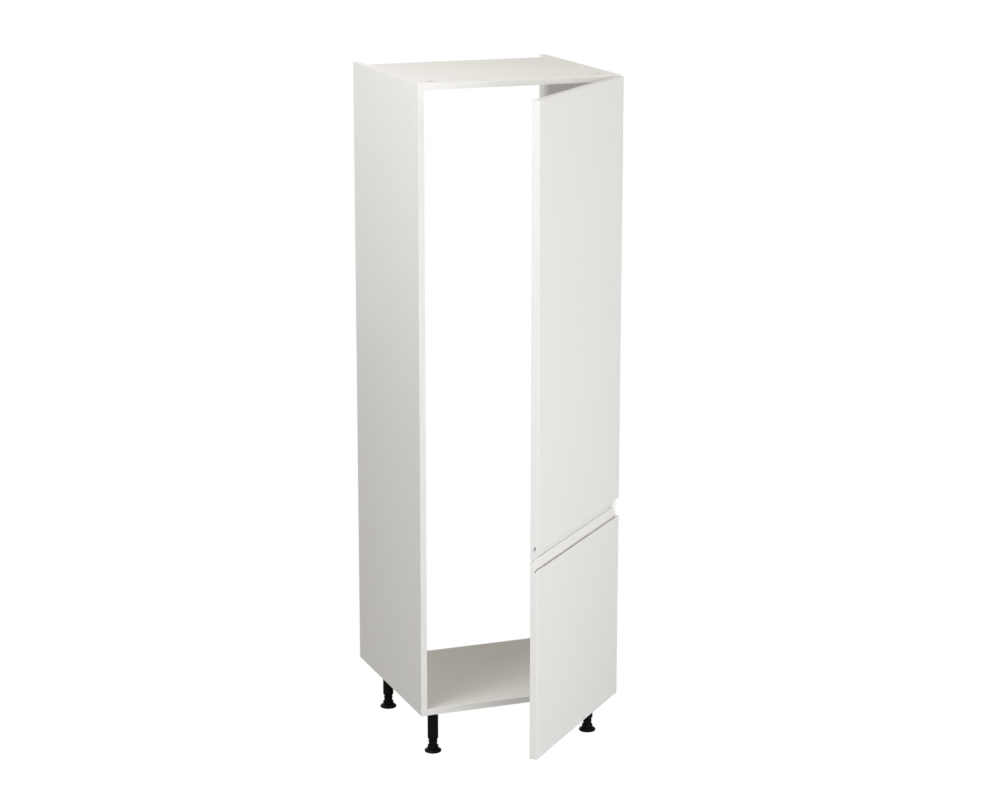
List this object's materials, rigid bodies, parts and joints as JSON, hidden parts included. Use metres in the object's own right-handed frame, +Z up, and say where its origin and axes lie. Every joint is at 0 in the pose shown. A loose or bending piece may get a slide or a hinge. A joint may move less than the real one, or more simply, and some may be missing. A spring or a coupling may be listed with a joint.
{
  "type": "tall cabinet for a built-in fridge-freezer",
  "caption": "Tall white kitchen housing for a built-in fridge-freezer, with an open back, two right-hung doors with J pulls and adjustable black legs.",
  "frame": {"origin": "on the floor, under the middle of the bounding box of the cabinet with its doors 45 degrees open; the carcass's front plane lies at Y = -0.0613", "axes": "+Z up, +X to the right as seen from the front, +Y to the back; the doors stand at -Y and turn on their right-hand side"},
  "size_m": [0.6008, 0.9974, 1.947],
  "materials": {
    "white_board": "white melamine-faced chipboard, satin",
    "white_door": "white lacquered fibreboard, satin",
    "black_plastic": "moulded, lightly grained",
    "nickel_plate": "nickel-plated pressed steel",
    "zinc_alloy": "die-cast zinc, matt",
    "clear_buffer": "clear soft polyurethane"
  },
  "bodies": {
    "carcass": {"side_panel_left": "white_board", "side_panel_right": "white_board", "top_panel": "white_board", "bottom_panel": "white_board", "cam_lock_top_front_left": "zinc_alloy", "cam_lock_top_front_right": "zinc_alloy", "cam_lock_top_rear_left": "zinc_alloy", "cam_lock_top_rear_right": "zinc_alloy", "cam_lock_bottom_front_left": "zinc_alloy", "cam_lock_bottom_front_right": "zinc_alloy", "cam_lock_bottom_rear_left": "zinc_alloy", "cam_lock_bottom_rear_right": "zinc_alloy", "cam_bolt_top_front_left": "nickel_plate", "cam_bolt_top_front_right": "nickel_plate", "cam_bolt_top_rear_left": "nickel_plate", "cam_bolt_top_rear_right": "nickel_plate", "cam_bolt_bottom_front_left": "nickel_plate", "cam_bolt_bottom_front_right": "nickel_plate", "cam_bolt_bottom_rear_left": "nickel_plate", "cam_bolt_bottom_rear_right": "nickel_plate", "leg_socket_front_left": "black_plastic", "leg_socket_front_right": "black_plastic", "leg_socket_rear_left": "black_plastic", "leg_socket_rear_right": "black_plastic", "leg_sleeve_front_left": "black_plastic", "leg_sleeve_front_right": "black_plastic", "leg_sleeve_rear_left": "black_plastic", "leg_sleeve_rear_right": "black_plastic", "hinge_plate_upper_1": "nickel_plate", "hinge_plate_upper_2": "nickel_plate", "hinge_plate_upper_3": "nickel_plate", "hinge_plate_lower_1": "nickel_plate", "hinge_plate_lower_2": "nickel_plate", "hinge_arm_upper_1": "nickel_plate", "hinge_arm_upper_2": "nickel_plate", "hinge_arm_upper_3": "nickel_plate", "hinge_arm_lower_1": "nickel_plate", "hinge_arm_lower_2": "nickel_plate"},
    "upper_door": {"upper_door": "white_door", "hinge_cup_upper_1": "nickel_plate", "hinge_cup_upper_2": "nickel_plate", "hinge_cup_upper_3": "nickel_plate", "door_buffer_upper_bottom": "clear_buffer", "door_buffer_upper_top": "clear_buffer"},
    "upper_links": {"hinge_link_upper_1": "nickel_plate", "hinge_link_upper_2": "nickel_plate", "hinge_link_upper_3": "nickel_plate"},
    "lower_door": {"lower_door": "white_door", "hinge_cup_lower_1": "nickel_plate", "hinge_cup_lower_2": "nickel_plate", "door_buffer_lower_bottom": "clear_buffer", "door_buffer_lower_top": "clear_buffer"},
    "lower_links": {"hinge_link_lower_1": "nickel_plate", "hinge_link_lower_2": "nickel_plate"},
    "foot_front_left": {"leg_foot_front_left": "black_plastic"},
    "foot_front_right": {"leg_foot_front_right": "black_plastic"},
    "foot_rear_left": {"leg_foot_rear_left": "black_plastic"},
    "foot_rear_right": {"leg_foot_rear_right": "black_plastic"}
  },
  "joints": [
    {"name": "upper_door_hinge", "type": "hinge", "parent": "carcass", "child": "upper_door", "pos_m": [0.2909, -0.07727, 1.32], "axis": [0, 0, 1], "range_deg": [-45, 50]},
    {"name": "upper_link_swing", "type": "hinge", "parent": "upper_door", "child": "upper_links", "pos_m": [0.26806, -0.0888, 1.32], "axis": [0, 0, 1], "range_deg": [-32, 29]},
    {"name": "lower_door_hinge", "type": "hinge", "parent": "carcass", "child": "lower_door", "pos_m": [0.2909, -0.07727, 0.42], "axis": [0, 0, 1], "range_deg": [-45, 50]},
    {"name": "lower_link_swing", "type": "hinge", "parent": "lower_door", "child": "lower_links", "pos_m": [0.26806, -0.0888, 0.42], "axis": [0, 0, 1], "range_deg": [-32, 29]},
    {"name": "foot_screw_front_left", "type": "slide", "parent": "carcass", "child": "foot_front_left", "axis": [0, 0, -1], "range_m": [-0.016, 0.025]},
    {"name": "foot_screw_front_right", "type": "slide", "parent": "carcass", "child": "foot_front_right", "axis": [0, 0, -1], "range_m": [-0.016, 0.025]},
    {"name": "foot_screw_rear_left", "type": "slide", "parent": "carcass", "child": "foot_rear_left", "axis": [0, 0, -1], "range_m": [-0.016, 0.025]},
    {"name": "foot_screw_rear_right", "type": "slide", "parent": "carcass", "child": "foot_rear_right", "axis": [0, 0, -1], "range_m": [-0.016, 0.025]}
  ],
  "couplings": [
    {"joint": "upper_link_swing", "follows": "upper_door_hinge", "ratio": -0.62},
    {"joint": "lower_link_swing", "follows": "lower_door_hinge", "ratio": -0.62}
  ]
}
